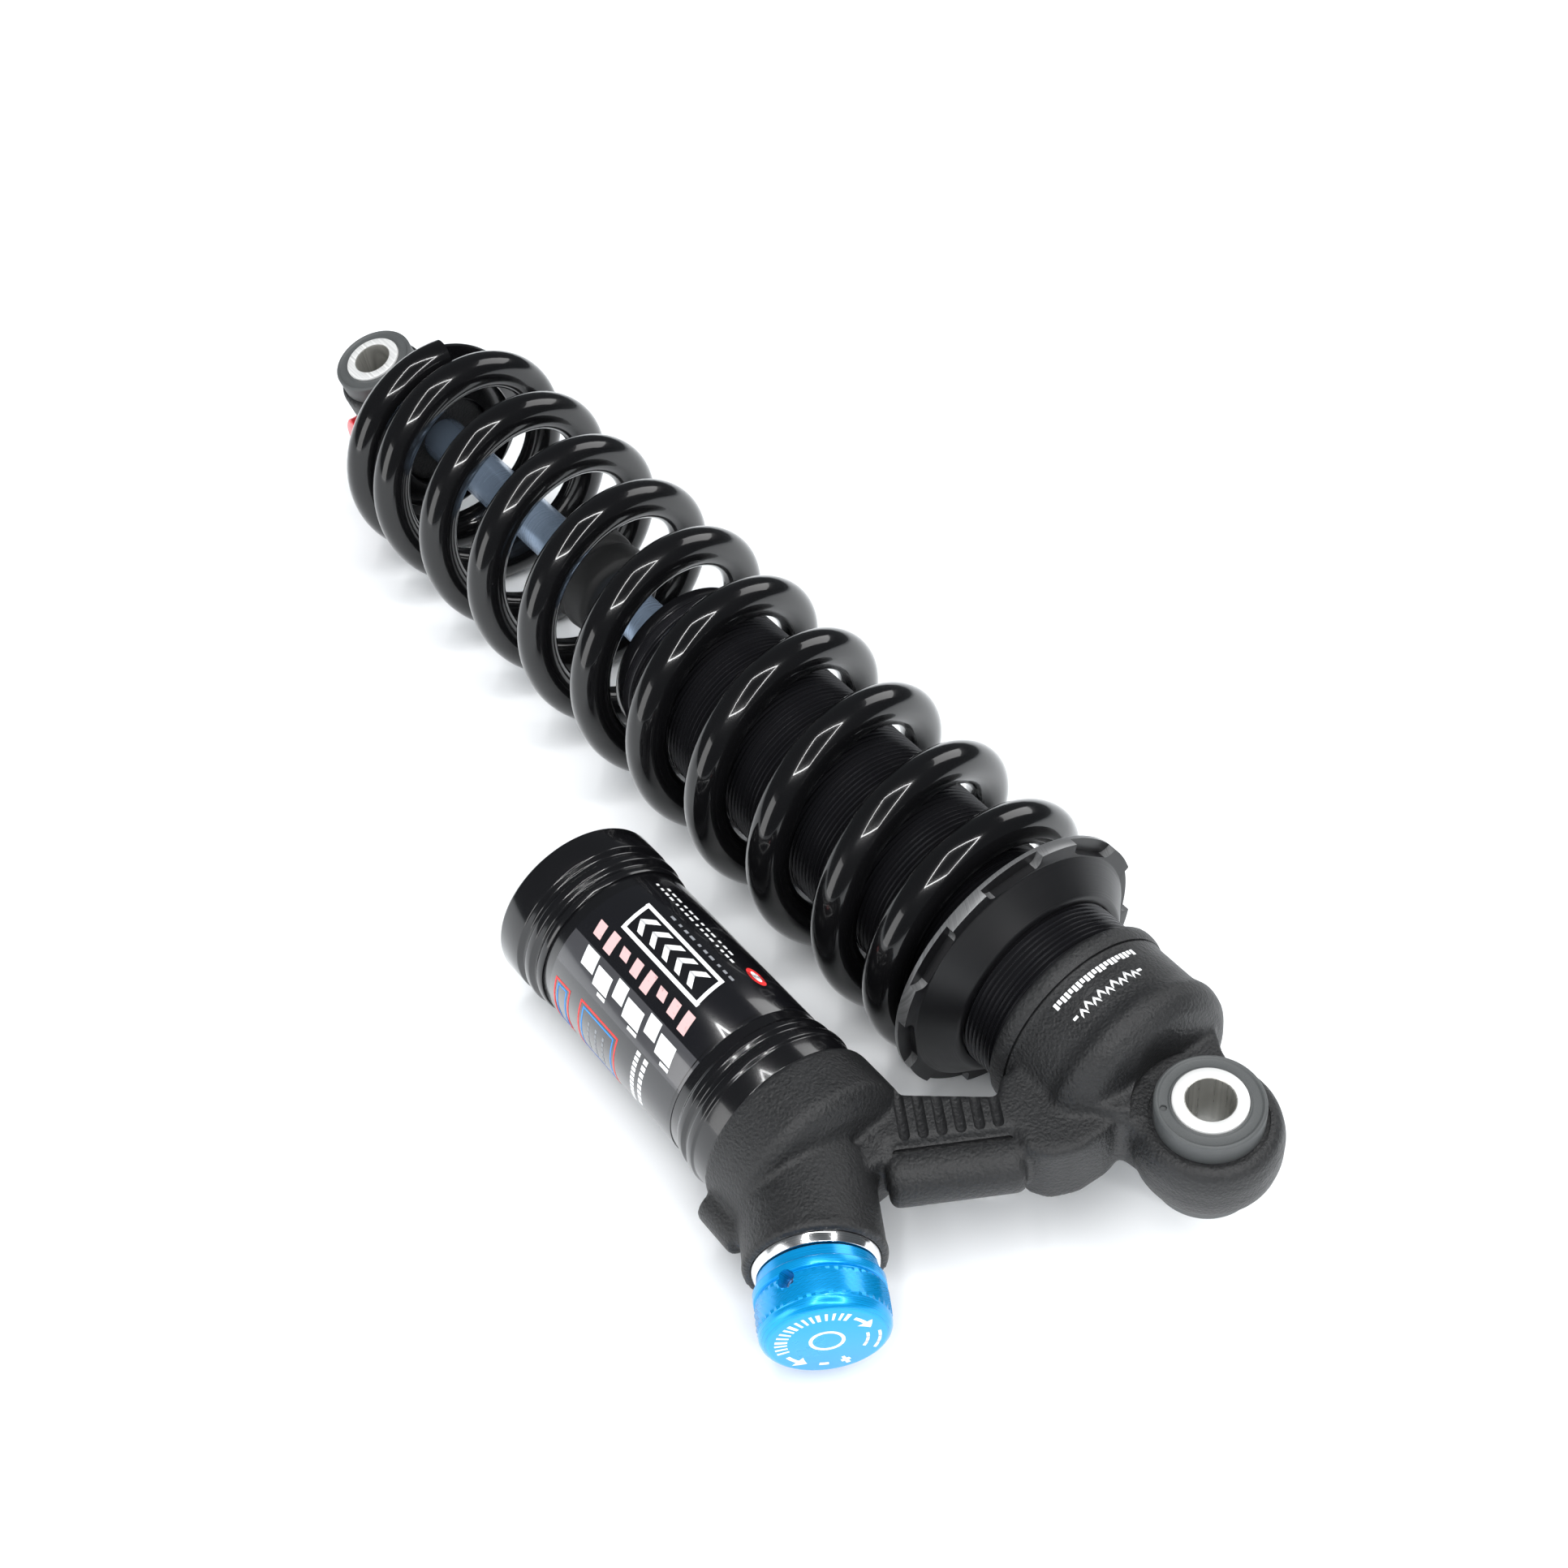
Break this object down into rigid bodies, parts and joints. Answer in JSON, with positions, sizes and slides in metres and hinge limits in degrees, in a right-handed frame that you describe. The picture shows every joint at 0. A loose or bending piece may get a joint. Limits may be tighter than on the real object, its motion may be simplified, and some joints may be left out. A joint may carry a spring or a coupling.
{
  "type": "rear shock",
  "caption": "Coil-over bicycle rear shock with a piggyback reservoir, a threaded preload ring, compression and rebound knobs, and bushed eyes at both ends.",
  "frame": {"origin": "centre of the body eye bore", "axes": "+X along the damper to the shaft eye, +Y towards the reservoir, +Z along the body eye bore"},
  "size_m": [0.2898, 0.1056, 0.0528],
  "materials": {
    "forged_black": "matte fine bead-blasted black finish on forged aluminium",
    "black_anodised": "gloss to satin black anodised",
    "spring_enamel": "gloss black enamel on spring steel",
    "polished_steel": "ground and polished hard chrome",
    "silver_aluminium": "bright turned aluminium",
    "blue_anodised": "bright blue anodised",
    "red_anodised": "bright red anodised",
    "black_polymer": "satin dark grey bearing polymer",
    "rubber": "matte black",
    "label_film": "gloss printed wrap",
    "brass": "machined"
  },
  "bodies": {
    "damper_body": {"head_forging": "forged_black", "body_eye_bush_upper": "black_polymer", "body_eye_bush_lower": "black_polymer", "damper_tube": "black_anodised", "seal_head": "black_anodised", "seal_head_oring": "rubber", "shaft_bushing": "black_polymer", "shaft_seal": "rubber", "dust_wiper": "rubber", "reservoir_tube": "black_anodised", "reservoir_label": "label_film", "reservoir_cap": "black_anodised", "reservoir_plug": "black_anodised", "reservoir_seal": "rubber", "valve_stem": "brass", "valve_core": "brass", "valve_cap": "black_anodised", "adjuster_bezel": "silver_aluminium", "compression_valve": "silver_aluminium", "coil_spring": "spring_enamel"},
    "shaft_assembly": {"shaft": "polished_steel", "main_piston": "black_anodised", "piston_band": "black_polymer", "compression_shims": "polished_steel", "rebound_shims": "polished_steel", "top_out_bumper": "rubber", "piston_nut": "polished_steel", "spring_retainer": "black_anodised", "retainer_ring": "polished_steel", "shaft_eye": "forged_black", "shaft_eye_bush_upper": "black_polymer", "shaft_eye_bush_lower": "black_polymer"},
    "bump_stop": {"bump_stop": "rubber"},
    "floating_piston": {"floating_piston": "black_anodised", "piston_bleed_screw": "polished_steel", "floating_piston_oring": "rubber"},
    "preload_washer": {"preload_washer": "black_anodised"},
    "preload_ring": {"preload_ring": "black_anodised"},
    "compression_adjuster": {"compression_knob": "blue_anodised", "knob_set_screw": "polished_steel", "compression_needle": "polished_steel"},
    "rebound_knob": {"rebound_knob": "red_anodised"},
    "rebound_rod": {"rebound_rod": "polished_steel"},
    "body_sleeve": {"body_eye_sleeve": "silver_aluminium"},
    "shaft_sleeve": {"shaft_eye_sleeve": "silver_aluminium"}
  },
  "joints": [
    {"name": "stroke", "type": "slide", "parent": "damper_body", "child": "shaft_assembly", "axis": [-1, 0, 0], "range_m": [0, 0.075], "stiffness_N_per_m": 78800, "deforming": ["coil_spring"]},
    {"name": "bump_stop_slide", "type": "slide", "parent": "damper_body", "child": "bump_stop", "axis": [-1, 0, 0], "range_m": [0, 0.018]},
    {"name": "floating_piston_slide", "type": "slide", "parent": "damper_body", "child": "floating_piston", "axis": [1, 0, 0], "range_m": [0, 0.0093]},
    {"name": "preload_advance", "type": "slide", "parent": "damper_body", "child": "preload_washer", "axis": [1, 0, 0], "range_m": [-0.007, 0]},
    {"name": "preload_turn", "type": "hinge", "parent": "preload_washer", "child": "preload_ring", "pos_m": [0.045, 0, 0], "axis": [1, 0, 0], "range_deg": [-2521, 0]},
    {"name": "compression_click", "type": "hinge", "parent": "damper_body", "child": "compression_adjuster", "pos_m": [0.0225, 0.0637, 0], "axis": [-0.8649, 0.5019, 0], "range_deg": [-240, 240]},
    {"name": "rebound_click", "type": "hinge", "parent": "shaft_assembly", "child": "rebound_knob", "pos_m": [0.2566, 0.0106, 0], "axis": [0, 1, 0], "range_deg": [-240, 240]},
    {"name": "rebound_rod_slide", "type": "slide", "parent": "shaft_assembly", "child": "rebound_rod", "axis": [-1, 0, 0], "range_m": [-0.00099, 0.00099]},
    {"name": "body_sleeve_turn", "type": "hinge", "parent": "damper_body", "child": "body_sleeve", "pos_m": [0, 0, 0], "axis": [0, 0, 1], "continuous": true},
    {"name": "shaft_sleeve_turn", "type": "hinge", "parent": "shaft_assembly", "child": "shaft_sleeve", "pos_m": [0.267, 0, 0], "axis": [0, 0.2414, 0.9704], "continuous": true}
  ],
  "couplings": [
    {"joint": "bump_stop_slide", "follows": "stroke", "ratio": 0.24},
    {"joint": "floating_piston_slide", "follows": "stroke", "ratio": 0.12398},
    {"joint": "preload_turn", "follows": "preload_advance", "rad_per_m": 6283.2},
    {"joint": "rebound_click", "follows": "rebound_rod_slide", "rad_per_m": 4188.8}
  ]
}
